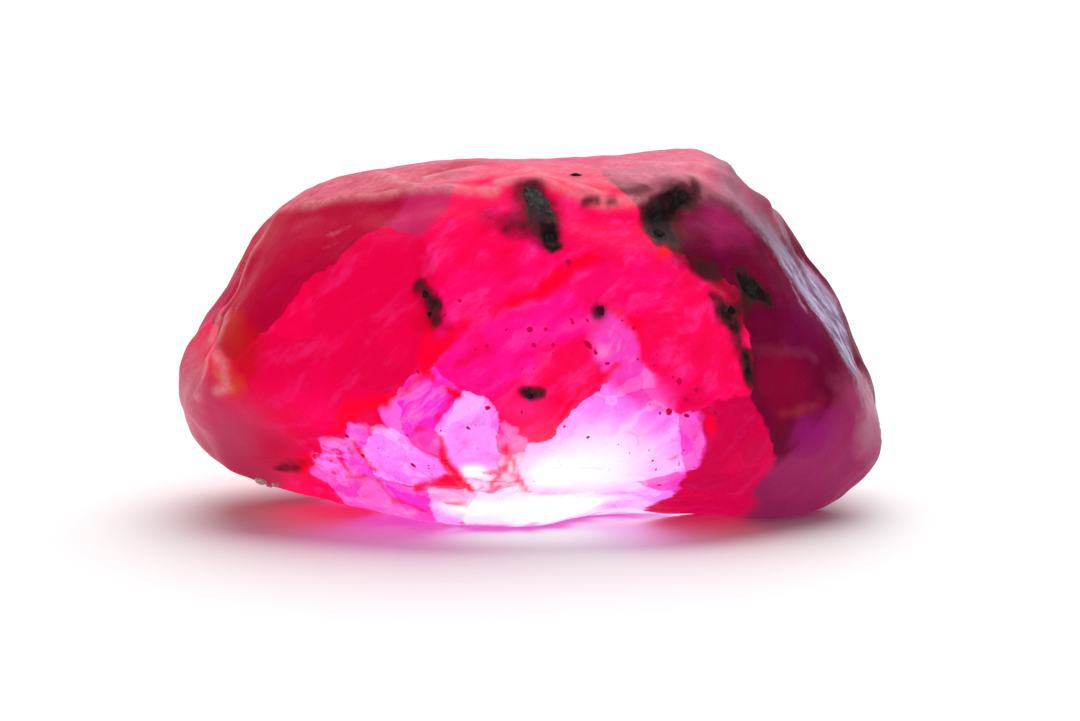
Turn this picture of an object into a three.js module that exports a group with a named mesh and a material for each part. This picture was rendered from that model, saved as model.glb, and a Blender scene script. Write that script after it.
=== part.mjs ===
// A raw ruby crystal: one water-worn piece of corundum, longer than it is deep, with a nearly level
// top, a long rounded nose at the left and a blunt, steeper end at the right.
// Millimetres, +Z up. The origin is under the middle of the stone, on the surface that it rests on;
// +X points to the blunt right end, and the side that shows best faces -Y.
import * as THREE from "three";

// Driving dimensions, all in millimetres.
const HEART_HEIGHT = 7.3; // the point inside the stone that every face is measured from
const SPHERE_DETAIL = 20; // rings of triangles on each face of the starting icosahedron
const STRETCH = new THREE.Vector3(14, 9.4, 7.5); // spreads the triangles evenly over a long stone
const EDGE_CRISPNESS = 26; // higher is sharper; a stream has rounded these edges

// The faces that the stone broke and wore to. Azimuth is where a face looks, in degrees: 0 is the
// front, 90 the right end, 180 the back and -90 the left end. Elevation is how far it looks up.
const FACES = [
  // the front
  { name: "front left", azimuth: -24, elevation: 14, distance: 10.0 },
  { name: "front middle", azimuth: 4, elevation: 8, distance: 9.3 },
  { name: "front right", azimuth: 34, elevation: 13, distance: 10.1 },
  { name: "front brow left", azimuth: -38, elevation: 50, distance: 9.2 },
  { name: "front brow right", azimuth: 28, elevation: 46, distance: 9.3 },
  { name: "front foot left", azimuth: -30, elevation: -42, distance: 9.7 },
  { name: "front foot middle", azimuth: 5, elevation: -50, distance: 9.0 },
  { name: "front foot right", azimuth: 42, elevation: -34, distance: 12.0 },
  // the blunt right end
  { name: "right end low", azimuth: 84, elevation: 2, distance: 13.75 },
  { name: "right end high", azimuth: 76, elevation: 33, distance: 10.15 },
  { name: "right shoulder", azimuth: 88, elevation: 52, distance: 9.45 },
  { name: "right chin", azimuth: 92, elevation: -26, distance: 15.9 },
  { name: "right heel", azimuth: 80, elevation: -58, distance: 12.7 },
  { name: "right back corner", azimuth: 128, elevation: 12, distance: 11.8 },
  // the top
  { name: "top left", azimuth: -90, elevation: 77, distance: 7.2 },
  { name: "top middle", azimuth: 180, elevation: 86, distance: 6.6 },
  { name: "top right", azimuth: 120, elevation: 80, distance: 7.5 },
  // the long left nose
  { name: "left slope high", azimuth: -88, elevation: 52, distance: 9.7 },
  { name: "left slope low", azimuth: -80, elevation: 32, distance: 10.95 },
  { name: "nose tip", azimuth: -92, elevation: 3, distance: 14.2 },
  { name: "nose underside", azimuth: -88, elevation: -37, distance: 13.75 },
  { name: "nose belly", azimuth: -95, elevation: -67, distance: 10.0 },
  { name: "nose back", azimuth: -138, elevation: 4, distance: 11.2 },
  // the back
  { name: "back left", azimuth: -164, elevation: 18, distance: 9.6 },
  { name: "back middle", azimuth: 170, elevation: -6, distance: 9.2 },
  { name: "back right", azimuth: 146, elevation: 34, distance: 9.4 },
  { name: "back brow", azimuth: -172, elevation: 54, distance: 8.7 },
  { name: "back foot left", azimuth: -150, elevation: -44, distance: 9.8 },
  { name: "back foot right", azimuth: 138, elevation: -46, distance: 10.4 },
  // the underside
  { name: "base", azimuth: 0, elevation: -90, distance: 7.5 },
  { name: "base left", azimuth: -90, elevation: -83, distance: 7.7 },
];

// Soft crests and hollows on those faces. Each follows a line, is as wide as its spread to either
// side, and stands proud by its height; a hollow has a negative height.
const RELIEF = [
  {
    name: "knob at the back of the top",
    line: [[5.4, 1.5, 14.4], [7.0, 0.5, 13.6]],
    spread: 2.0,
    height: 0.7,
  },
  {
    name: "front crest of the top",
    line: [
      [-9.6, -0.9, 11.8],
      [-6.9, -3.5, 12.9],
      [-4.7, -5.1, 13.3],
      [-0.5, -6.5, 14.1],
      [1.6, -7.0, 13.5],
      [3.7, -6.4, 13.1],
      [5.9, -4.3, 13.7],
    ],
    spread: 0.8,
    height: 0.3,
  },
  {
    name: "back crest of the top",
    line: [
      [-7.6, 2.0, 13.0],
      [-5.4, -1.5, 13.4],
      [-2.2, -2.0, 14.0],
      [0.9, -4.2, 14.2],
      [3.0, -4.0, 14.1],
      [4.8, -2.2, 14.2],
      [7.4, -0.8, 13.8],
    ],
    spread: 0.8,
    height: 0.25,
  },
  {
    name: "saddle in front of the knob",
    line: [[0.8, -1.8, 14.1], [3.0, -2.0, 14.1]],
    spread: 1.1,
    height: -0.4,
  },
  {
    name: "dip under the front crest",
    line: [[1.6, -7.6, 12.7], [3.9, -7.0, 12.4], [5.2, -6.4, 12.4]],
    spread: 0.9,
    height: -0.35,
  },
  {
    name: "crest down the right end",
    line: [[8.2, -3.0, 12.9], [9.9, -3.4, 10.6], [11.6, -3.6, 8.4], [12.6, -3.6, 6.0]],
    spread: 0.8,
    height: 0.25,
  },
  {
    name: "crest down the left slope",
    line: [[-12.6, -1.9, 7.6], [-11.5, -1.4, 9.6], [-9.9, -1.2, 11.6]],
    spread: 0.7,
    height: 0.2,
  },
  {
    name: "chip under the nose",
    line: [[-10.6, -3.4, 1.7], [-9.8, -3.6, 1.4]],
    spread: 0.9,
    height: -0.35,
  },
  {
    name: "hollow under the right side",
    line: [[3.8, -4.6, 0.6], [7.2, -4.2, 0.6]],
    spread: 2.2,
    height: -1.0,
  },
  {
    name: "step across the back",
    line: [[-8.5, 6.2, 5.5], [-3.0, 8.8, 6.8], [3.5, 8.6, 8.4], [7.5, 6.6, 9.4]],
    spread: 1.1,
    height: 0.35,
  },
  {
    name: "hollow above the step",
    line: [[-4.5, 7.6, 9.4], [1.5, 7.6, 10.6]],
    spread: 1.8,
    height: -0.45,
  },
  {
    name: "dent in the nose's back",
    line: [[-11.6, 3.2, 7.2], [-10.6, 4.6, 5.2]],
    spread: 1.3,
    height: -0.4,
  },
];

// Where a face looks, as a unit vector.
function outward(azimuth, elevation) {
  const turn = THREE.MathUtils.degToRad(azimuth);
  const lift = THREE.MathUtils.degToRad(elevation);
  return new THREE.Vector3(
    Math.sin(turn) * Math.cos(lift),
    -Math.cos(turn) * Math.cos(lift),
    Math.sin(lift),
  );
}

const planes = FACES.map((face) => ({
  normal: outward(face.azimuth, face.elevation),
  distance: face.distance,
}));

// How far the worn faces are from the heart of the stone in a direction.
function reach(direction) {
  let closeness = 0;
  for (const { normal, distance } of planes) {
    const facing = Math.max(0, normal.dot(direction));
    closeness += Math.pow(facing / distance, EDGE_CRISPNESS);
  }
  return Math.pow(closeness, -1 / EDGE_CRISPNESS);
}

const reliefLines = RELIEF.map((feature) => ({
  ...feature,
  pieces: feature.line
    .slice(1)
    .map(
      (end, i) =>
        new THREE.Line3(
          new THREE.Vector3(...feature.line[i]),
          new THREE.Vector3(...end),
        ),
    ),
}));

// How far the crests and hollows lift the surface at a point.
function lift(point) {
  const nearest = new THREE.Vector3();
  let total = 0;
  for (const { pieces, spread, height } of reliefLines) {
    const away = Math.min(
      ...pieces.map((piece) =>
        piece.closestPointToPoint(point, true, nearest).distanceTo(point),
      ),
    );
    total += height * Math.exp(-((away / spread) ** 2));
  }
  return total;
}

// The whole stone as one closed surface.
function crystalGeometry() {
  const geometry = new THREE.IcosahedronGeometry(1, SPHERE_DETAIL);
  geometry.deleteAttribute("normal");
  geometry.deleteAttribute("uv");
  const points = geometry.getAttribute("position");
  const heart = new THREE.Vector3(0, 0, HEART_HEIGHT);
  const direction = new THREE.Vector3();
  const point = new THREE.Vector3();
  for (let i = 0; i < points.count; i += 1) {
    direction.fromBufferAttribute(points, i).multiply(STRETCH).normalize();
    point.copy(heart).addScaledVector(direction, reach(direction));
    point.addScaledVector(direction, lift(point));
    points.setXYZ(i, point.x, point.y, Math.max(0, point.z));
  }
  geometry.computeBoundingBox();
  const middle = geometry.boundingBox.getCenter(new THREE.Vector3());
  geometry.translate(-middle.x, -middle.y, 0);
  geometry.computeVertexNormals();
  return geometry;
}

const rubyRed = new THREE.MeshStandardMaterial({
  color: new THREE.Color(0.72, 0.04, 0.22),
  roughness: 0.4,
  metalness: 0,
});

const stone = new THREE.Group();
const crystal = new THREE.Mesh(crystalGeometry(), rubyRed);
crystal.name = "ruby_crystal";
stone.add(crystal);

export default stone;
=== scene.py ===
# %% [markdown]
# # A raw ruby, glowing from its foot
#
# This lesson builds one water-worn ruby. The real stone is a single piece of corundum with three
# things to catch: a soft pebble shape with thin crests, an inside broken into blocks of different
# reds that glow where light enters at the foot, and grains of dark mineral grown into its skin.
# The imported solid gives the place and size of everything, and the scene adds the fine surface.

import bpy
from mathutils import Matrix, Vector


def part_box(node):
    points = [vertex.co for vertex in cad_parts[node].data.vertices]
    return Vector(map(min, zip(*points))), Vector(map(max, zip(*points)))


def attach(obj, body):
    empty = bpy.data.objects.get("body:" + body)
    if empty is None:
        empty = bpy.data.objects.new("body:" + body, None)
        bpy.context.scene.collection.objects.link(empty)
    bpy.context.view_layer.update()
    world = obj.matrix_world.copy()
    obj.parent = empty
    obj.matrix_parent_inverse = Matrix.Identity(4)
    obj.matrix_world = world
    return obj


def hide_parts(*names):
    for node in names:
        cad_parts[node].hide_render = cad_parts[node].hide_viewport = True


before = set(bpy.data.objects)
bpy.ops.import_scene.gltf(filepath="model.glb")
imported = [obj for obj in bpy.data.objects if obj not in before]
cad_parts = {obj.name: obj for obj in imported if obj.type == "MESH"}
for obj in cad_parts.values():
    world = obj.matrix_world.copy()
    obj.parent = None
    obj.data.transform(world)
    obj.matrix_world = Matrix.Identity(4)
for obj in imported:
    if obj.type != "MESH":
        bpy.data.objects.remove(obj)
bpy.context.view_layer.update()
low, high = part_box("ruby_crystal")
print("solid's box, mm:", [round(side * 1000, 2) for side in high - low])

# %% Libraries, units and two small helpers
import math

import bmesh
import bpy
import numpy as np
from mathutils import Vector, noise

MM = 0.001  # metres in a millimetre


def new_object(name, data):
    """A new object in the scene."""
    made = bpy.data.objects.new(name, data)
    bpy.context.scene.collection.objects.link(made)
    return made


def set_sockets(node, **values):
    """Sets a node's own sockets to constant numbers and colours. An underscore stands for a space."""
    for name, value in values.items():
        node.inputs[name.replace("_", " ")].default_value = value


print("a millimetre is", MM, "m")

# %% [markdown]
# ## Camera, floor and light
#
# A stone like this is looked at from nearly its own height with a long lens, which keeps its top
# and its foot in one calm outline. A near lens would swell the front. The camera goes first, so
# that each later step can be looked at.

# %% Camera
VIEW_DISTANCE = 170 * MM
VIEW_ABOVE = math.radians(9)  # how far the camera is raised
AIM = Vector((0.46 * MM, 0.03 * MM, 0.41 * high.z))  # a little under the middle of the stone

camera_data = bpy.data.cameras.new("viewing_camera")
camera_data.sensor_width = 36
camera_data.lens = 141.7
camera_data.clip_start = 0.01
camera_data.clip_end = 20
camera = new_object("viewing_camera", camera_data)
away = Vector((0, -math.cos(VIEW_ABOVE), math.sin(VIEW_ABOVE)))
camera.location = AIM + away * VIEW_DISTANCE
camera.rotation_euler = (-away).to_track_quat("-Z", "Y").to_euler()
bpy.context.scene.camera = camera
bpy.context.scene.view_settings.view_transform = "Standard"
print("camera at, mm:", [round(value * 1000, 1) for value in camera.location])


# %% [markdown]
# The stage is a wide pale floor under a broad soft sun, which lights every part of the floor
# alike. The world's light is kept low, because a strong pale sky would mirror in the skin and
# grey the reds. A camera ray sees that same world at full white, so that floor and sky meet
# without a line.


# %% Stage
def new_material(name):
    """A node material with a Principled shader, and that shader."""
    material = bpy.data.materials.new(name)
    material.use_nodes = True
    return material, material.node_tree.nodes["Principled BSDF"]


FLOOR_HALF = 3.0
floor_mesh = bpy.data.meshes.new("floor")
corners = [(-1, -1), (1, -1), (1, 1), (-1, 1)]
floor_mesh.from_pydata([(x * FLOOR_HALF, y * FLOOR_HALF, 0) for x, y in corners], [], [(0, 1, 2, 3)])
floor = new_object("floor", floor_mesh)
floor_material, floor_shader = new_material("pale_floor")
set_sockets(floor_shader, Base_Color=(0.93, 0.93, 0.93, 1), Roughness=0.7, Specular_IOR_Level=0.2)
floor_mesh.materials.append(floor_material)

sun_data = bpy.data.lights.new("soft_sun", "SUN")
sun_data.energy = 3.0
sun_data.angle = math.radians(75)
sun = new_object("soft_sun", sun_data)
sun.rotation_euler = (math.radians(-24), math.radians(8), 0)

world = bpy.data.worlds.new("studio")
world.use_nodes = True
bpy.context.scene.world = world
world_nodes = world.node_tree.nodes
world_links = world.node_tree.links
sky = world_nodes["Background"]
set_sockets(sky, Color=(1, 1, 1, 1), Strength=0.3)
white = world_nodes.new("ShaderNodeBackground")
set_sockets(white, Color=(1, 1, 1, 1))
either = world_nodes.new("ShaderNodeMixShader")
rays = world_nodes.new("ShaderNodeLightPath")
world_links.new(rays.outputs["Is Camera Ray"], either.inputs["Fac"])
world_links.new(sky.outputs["Background"], either.inputs[1])
world_links.new(white.outputs["Background"], either.inputs[2])
world_links.new(either.outputs["Shader"], world_nodes["World Output"].inputs["Surface"])
print("stage ready: floor, soft sun, low world")


# %% [markdown]
# ## The stone's skin
#
# The solid is a coarse net of triangles. It could be subdivided as it is, but its triangles are
# long in some places and small in others, and fine marks would show that. So a copy is smoothed
# once and rebuilt from small even cubes, which gives the same density everywhere. The marks of
# wear are then pressed into that even skin.


# %% An even, dense skin
def baked_mesh(piece):
    """The piece's mesh with its modifiers applied, as a new mesh."""
    depsgraph = bpy.context.evaluated_depsgraph_get()
    return bpy.data.meshes.new_from_object(piece.evaluated_get(depsgraph), depsgraph=depsgraph)


SKIN_GRAIN = 0.146 * MM
stone = new_object("ruby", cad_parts["ruby_crystal"].data.copy())
weld = stone.modifiers.new("weld", "WELD")
weld.merge_threshold = 0.001 * MM
round_off = stone.modifiers.new("round_off", "SUBSURF")
round_off.levels = 1
even_out = stone.modifiers.new("even_out", "REMESH")
even_out.mode = "VOXEL"
even_out.voxel_size = SKIN_GRAIN
relax = stone.modifiers.new("relax", "SMOOTH")
relax.iterations = 6
relax.factor = 0.5
skin = baked_mesh(stone)
stone.modifiers.clear()
stone.data = skin
skin.name = "ruby"
skin.materials.clear()
print("skin:", len(skin.vertices), "points,", len(skin.polygons), "faces")


# %% Points and normals of the skin, in millimetres
def read_points(mesh):
    """The mesh's points in millimetres, one row each."""
    flat = np.empty(len(mesh.vertices) * 3, np.float32)
    mesh.vertices.foreach_get("co", flat)
    return flat.reshape(-1, 3).astype(float) / MM


def read_normals(mesh):
    """The mesh's point normals, one row each."""
    flat = np.empty(len(mesh.vertices) * 3, np.float32)
    mesh.vertex_normals.foreach_get("vector", flat)
    return flat.reshape(-1, 3).astype(float)


def write_points(mesh, points):
    """Puts points given in millimetres into the mesh."""
    mesh.vertices.foreach_set("co", (points * MM).astype(np.float32).ravel())
    mesh.update()


points = read_points(skin)
normals = read_normals(skin)
print("skin's box, mm:", np.ptp(points, axis=0).round(2))


# %% [markdown]
# ## Wear and fracture
#
# A stream pebble is smooth but never even: slow swells, small dents, and thin crests where two
# worn faces meet. Each of these is a push in or out along the skin's normal. A field of noise
# makes the swells. A crest follows a line: the nearer a point is to the line, the more it rises.


# %% Swells and dents
def noise_field(scale, seed, stretch=(1.0, 1.0, 1.0)):
    """Smooth noise from -1 to 1 at each point, with features about 1 / scale millimetres wide."""
    shift = Vector((seed * 7.3, seed * 3.1, seed * 5.7))
    return np.array([noise.noise(Vector(place) * scale + shift) for place in points * np.array(stretch)])


push = 0.16 * noise_field(0.30, 1) + 0.07 * noise_field(0.75, 2)
push += 0.03 * noise_field(1.7, 3)
print("swells push by, mm:", push.min().round(2), "to", push.max().round(2))


# %% Distance to a line
def within(values):
    """The values kept between 0 and 1."""
    return np.clip(values, 0, 1)


def distance_to_line(places, line):
    """Each place's distance to a line through several points, in millimetres."""
    nearest = np.full(len(places), np.inf)
    for start, end in zip(np.array(line[:-1], float), np.array(line[1:], float)):
        along = end - start
        share = within((places - start) @ along / (along @ along))
        nearest = np.minimum(nearest, np.linalg.norm(places - start - share[:, None] * along, axis=1))
    return nearest


# Each crest: the line that it follows, how wide it is to either side and how proud it stands.
CRESTS = {
    "left of the top": (
        [(-9.6, -0.9, 11.8), (-8.3, -3.0, 12.6), (-7.0, -4.0, 12.8), (-5.6, -5.0, 13.1),
         (-4.5, -5.5, 13.3), (-4.0, -5.8, 13.6), (-3.0, -6.3, 13.6), (-2.0, -7.0, 13.6),
         (-1.3, -7.4, 13.6)], 0.24, 0.17),
    "brow": (
        [(-1.1, -7.0, 13.8), (-0.5, -7.0, 14.1), (0.2, -7.0, 14.1), (0.8, -7.1, 13.9), (1.2, -7.1, 13.6),
         (2.0, -7.0, 13.3), (2.7, -6.9, 13.1), (3.7, -6.5, 13.1), (4.3, -6.3, 13.1), (4.9, -5.9, 13.1),
         (5.5, -5.4, 13.3), (6.0, -4.8, 13.6), (6.6, -3.2, 13.7)], 0.24, 0.15),
    "upper left terrace": (
        [(-6.1, 2.4, 13.1), (-5.5, -2.0, 13.5), (-5.0, -3.5, 13.5), (-4.3, -5.4, 13.5)], 0.26, 0.14),
    "middle terrace": ([(-4.0, -3.7, 13.7), (-3.0, -3.4, 13.8), (-2.0, -3.4, 14.0)], 0.26, 0.12),
    "second brow": (
        [(-0.1, -4.0, 14.3), (0.8, -5.8, 14.2), (1.7, -6.8, 13.8), (2.5, -6.8, 13.5), (3.0, -6.5, 13.3)],
        0.22, 0.08),
    "knob": (
        [(3.5, -0.5, 13.8), (4.4, -1.0, 14.0), (5.0, -3.0, 14.1), (6.3, -2.0, 14.0), (7.1, -1.7, 13.8),
         (7.9, -1.5, 13.3)], 0.28, 0.14),
    "left slope": (
        [(-12.8, -2.0, 7.3), (-11.8, -1.4, 9.3), (-11.2, -0.9, 10.1), (-10.4, -0.9, 11.0),
         (-9.6, -0.9, 11.8)], 0.28, 0.14),
    "left lip": (
        [(-11.8, -3.4, 8.3), (-11.8, -4.6, 7.6), (-12.3, -4.8, 6.6), (-12.8, -4.9, 5.4)], 0.26, 0.14),
    "lip's loop": (
        [(-12.1, -5.2, 7.0), (-11.7, -5.9, 6.6), (-11.6, -6.1, 5.9), (-12.0, -5.7, 5.6)], 0.22, 0.08),
    "back ledge": ([(-9.0, 6.0, 5.0), (-3.0, 8.6, 6.8), (3.4, 8.5, 8.6), (7.6, 6.4, 9.6)], 0.40, 0.15),
    "back corner": ([(9.4, 4.6, 11.0), (11.2, 4.4, 7.0), (11.8, 3.2, 3.4)], 0.40, 0.15),
}
# This crest mask is kept for the painted sheen that the frost and sheen layer lays on the crests.
painted_crest_sheen = np.zeros(len(points))
wander = 0.10 * noise_field(1.1, 9)
for name, (line, width, height) in CRESTS.items():
    away_from = np.abs(distance_to_line(points, line) + wander)
    push += height * np.exp(-away_from / width)
    painted_crest_sheen = np.maximum(painted_crest_sheen, np.exp(-((away_from / width) ** 2)))
print("crests:", len(CRESTS), "lines")


# %% [markdown]
# The right shoulder carries a band of fine steps, where the crystal's growth layers come to the
# surface. They run along the band. A wave whose phase is the distance across the band makes the
# steps, and noise breaks them up so that no two are alike.

# %% Growth steps on the right shoulder
BAND = [(8.6, -0.2, 13.0), (9.6, -0.3, 11.9), (10.9, -0.4, 9.8), (12.2, -0.5, 7.5), (13.1, -0.7, 5.4)]
BAND_HALF_WIDTH = 3.3
across_band = distance_to_line(points, BAND) / (1 + 0.30 * within((points[:, 2] - 9) / 3))
across_band += 0.9 * noise_field(0.35, 24) * within((points[:, 1] + 3) / 2)
band_mark = within((BAND_HALF_WIDTH - across_band) / 1.5)
band_mark *= within((points[:, 0] - 6.4) / 1.5)
patchy_band = within(0.60 + 1.3 * noise_field(0.45, 25))
behind = within((points[:, 1] + 2.5) / 2)
band_mark *= 1 - behind + behind * patchy_band
band_wander = noise_field(0.9, 21)
steps = np.abs(((across_band + 0.5 * band_wander) * 1.7) % 1 - 0.5) * 2
broken = within(0.6 + 1.2 * noise_field(0.8, 22))
push += band_mark * broken * 0.13 * (steps - 0.5)
push += band_mark * 0.03 * noise_field(3.2, 23, (1.0, 1.0, 0.45))
print("points on the stepped band:", int((band_mark > 0.3).sum()))

# %% Broad swells that shape the outline
# Each swell: its middle, how far it reaches and how much it lifts the skin (or lowers it).
SWELLS = [
    ((-12.4, -1.0, 9.2), 1.3, -0.46),
    ((-12.3, 2.3, 9.0), 1.8, -0.26),
    ((-13.4, -1.5, 6.1), 1.0, 0.36),
    ((-13.3, -0.9, 6.9), 0.8, 0.12),
    ((-13.8, -0.9, 3.6), 1.0, -0.20),
    ((-13.6, -2.5, 3.4), 1.2, -0.50),
    ((-11.8, -3.0, 1.6), 0.9, 0.36),
    ((1.5, -5.0, 14.4), 3.4, -0.24),
    ((0.5, 5.6, 13.5), 2.5, -0.15),
    ((-13.0, 0.8, 7.4), 1.0, 0.10),
    ((5.9, -1.0, 14.3), 1.1, 0.08),
    ((6.8, 1.5, 14.1), 1.2, 0.10),
    ((8.2, -0.8, 13.6), 0.5, -0.10),
    ((8.9, -0.8, 12.9), 0.9, 0.22),
    ((9.7, -0.2, 12.1), 0.8, 0.40),
    ((9.3, -0.1, 12.3), 0.7, 0.28),
    ((9.8, 2.6, 11.5), 1.0, 0.20),
    ((7.9, -1.0, 13.7), 0.7, 0.20),
    ((11.3, 1.6, 9.9), 1.1, -0.30),
    ((11.5, 3.0, 9.6), 1.0, -0.16),
    ((13.5, 1.4, 6.1), 1.0, -0.20),
    ((13.3, -0.2, 5.9), 0.7, -0.24),
    ((13.9, -2.0, 2.8), 1.2, 0.34),
    ((-3.3, -4.6, 13.6), 0.8, -0.12),
    ((-7.2, -1.5, 12.9), 1.2, -0.12),
    ((0.6, -5.6, 14.1), 0.7, -0.12),
    ((3.6, -5.2, 13.9), 0.9, -0.10),
]


def hill(middle, reach):
    """A soft round hill: 1 at its middle, fading out over its reach, in millimetres."""
    return np.exp(-((np.linalg.norm(points - np.array(middle), axis=1) / reach) ** 2))


for middle, reach, lift in SWELLS:
    push += lift * hill(middle, reach)
print("swells:", len(SWELLS))

# %% Pits where the dark grains sit
# Each grain: its middle, how wide it is, how tall for its width, how deep its pit is, and how many
# degrees it leans to the left.
GRAINS = {
    "brow_lens": ((0.42, -7.70, 13.15), 1.00, 1.8, 0.14, 28),
    "brow_grain": ((0.90, -8.50, 12.00), 0.62, 1.1, 0.26, 20),
    "dark_grain_high": ((5.8, -5.3, 13.1), 0.60, 1.9, 0.10, -62),
    "dark_grain_mid": ((5.1, -6.1, 12.5), 0.74, 1.5, 0.14, -40),
    "dark_grain_low": ((5.1, -6.7, 11.95), 0.78, 0.8, 0.14, 10),
    "shoulder_grain": ((8.7, -5.9, 9.8), 1.00, 1.0, 0.16, 30),
    "shoulder_grain_low": ((7.85, -6.75, 8.9), 0.50, 1.6, 0.10, -50),
    "heart_grain": ((-3.95, -8.75, 9.85), 0.46, 1.5, 0.14, 20),
    "heart_grain_low": ((-3.7, -9.0, 9.1), 0.36, 1.4, 0.10, 0),
    "round_grain": ((2.8, -8.9, 9.2), 0.50, 1.2, 0.06, 15),
    "low_grain": ((0.12, -9.5, 6.08), 0.44, 0.6, 0.07, 0),
    "edge_grain": ((8.45, -7.0, 6.6), 0.46, 1.8, 0.10, 15),
    "ledge_grain": ((1.8, -5.1, 14.3), 0.80, 0.4, 0.10, 0),
    "back_grain": ((-2.4, 8.6, 7.9), 1.0, 1.3, 0.20, 20),
    "back_grain_low": ((-1.5, 8.9, 7.0), 0.6, 0.9, 0.14, 0),
    "back_grain_right": ((6.2, 7.2, 9.3), 0.9, 1.2, 0.18, -20),
    "back_foot_grain": ((3.2, 8.3, 3.4), 0.50, 0.8, 0.10, 0),
    "left_end_grain": ((-12.9, 1.6, 6.1), 0.55, 1.2, 0.10, 30),
}
PIT_SHARE = 0.62  # how far a pit reaches, for its grain's width
pit_mark = np.zeros(len(points))
for middle, width, _, depth, _ in GRAINS.values():
    hollow = hill(middle, PIT_SHARE * width)
    push -= depth * hollow
    pit_mark = np.maximum(pit_mark, hollow)
TINY_PITS = [
    (-7.4, 0.7, 13.0), (-6.5, 3.1, 13.1), (-8.8, 0.8, 12.4), (-2.6, -4.9, 13.8), (2.2, -7.1, 13.2),
    (3.1, -6.8, 13.1), (-11.9, -4.2, 8.3), (9.6, -3.9, 10.6), (11.4, -5.2, 5.1), (-6.1, -4.1, 13.3),
    (-5.5, -2.2, 13.3), (-8.8, -2.7, 12.1), (-0.6, -3.9, 14.1), (-3.2, -2.5, 13.8), (-7.0, -1.4, 13.0),
    (-12.6, -3.5, 5.6), (-13.2, -2.8, 4.4), (-12.2, -5.0, 3.6), (-11.4, -5.4, 2.9),
]
TINY_REACH = 0.26
TINY_DEPTH = 0.11
for middle in TINY_PITS:
    hollow = hill(middle, TINY_REACH)
    push -= TINY_DEPTH * hollow
    pit_mark = np.maximum(pit_mark, 0.8 * hollow)
print("pits:", len(GRAINS), "with grains,", len(TINY_PITS), "without")

# %% Press the wear into the skin
FLOOR_CALM = 0.5  # over this height the wear fades in, so that the resting face stays flat
calm = within(points[:, 2] / FLOOR_CALM)
points += normals * (push * calm)[:, None]

# %% [markdown]
# Broken edges come last. Corundum chips in shallow shells, like thick glass. Such a chip is the
# dent that a ball would leave: each point inside the ball is moved out to the ball's surface.
# That gives a hollow face with a crisp rim, which a soft push can't give.

# %% Shell-shaped chips
# Each chip: the ball's middle and its radius. The ball only just reaches into the stone.
CHIPS = [
    ((-11.0, -3.6, -0.6), 2.3),
    ((-9.7, -4.6, -0.4), 1.9),
    ((-12.4, -4.9, 0.6), 1.7),
    ((13.9, -6.6, 0.8), 2.4),
    ((13.7, -4.3, -0.2), 1.7),
    ((12.9, -5.9, -0.3), 1.2),
    ((-14.9, -3.2, 8.2), 3.0),
    ((-14.6, -5.4, 6.8), 2.2),
    ((0.5, 15.6, 13.2), 6.9),
    ((-7.2, 12.2, 9.8), 5.6),
    ((9.4, 12.4, 4.0), 6.0),
    ((-9.5, 10.6, 0.6), 4.6),
    ((15.0, 5.4, 11.0), 4.4),
]
for middle, radius in CHIPS:
    out = points - np.array(middle)
    reach = np.linalg.norm(out, axis=1)
    ripple = radius * (1 + 0.012 * np.sin(reach * 9) + 0.02 * noise_field(0.8, 31))
    inside = reach < ripple
    points[inside] = np.array(middle) + out[inside] * (ripple[inside] / reach[inside])[:, None]
points[:, 2] = np.maximum(points[:, 2], 0)
write_points(skin, points)
skin.polygons.foreach_set("use_smooth", np.ones(len(skin.polygons), bool))
skin.update()
print("worn skin's box, mm:", np.ptp(points, axis=0).round(2))


# %% Marks that the finish will read
def keep_mark(mesh, name, values):
    """Stores a number or a vector for each point, which a material's Attribute node reads by name."""
    kind, field = ("FLOAT", "value") if values.ndim == 1 else ("FLOAT_VECTOR", "vector")
    mesh.attributes.new(name, kind, "POINT").data.foreach_set(field, values.astype(np.float32).ravel())


def smooth(share):
    """A smooth step from 0 to 1."""
    share = within(share)
    return share * share * (3 - 2 * share)


noise.seed_set(4)  # noise_vector draws its offsets from this seed, or from the clock without it


def stirred(places, scale, strength, seed):
    """The places pushed about by smooth noise, in millimetres."""
    shift = Vector((seed * 5.1, seed * 2.3, seed * 8.9))
    pushes = [noise.noise_vector(Vector(place) * scale + shift) for place in places]
    return places + strength * np.array(pushes)


waved = stirred(points, 0.55, 0.35, 41)
torn = stirred(stirred(waved, 2.5, 0.12, 42), 5.5, 0.05, 43)
frayed = stirred(stirred(points, 0.7, 0.60, 44), 2.6, 0.22, 45)
keep_mark(skin, "torn_place", torn)
keep_mark(skin, "band", band_mark)
for name, places in (("torn", torn), ("frayed", frayed)):
    print(name, "places are stirred by up to, mm:", np.abs(places - points).max().round(2))
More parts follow.
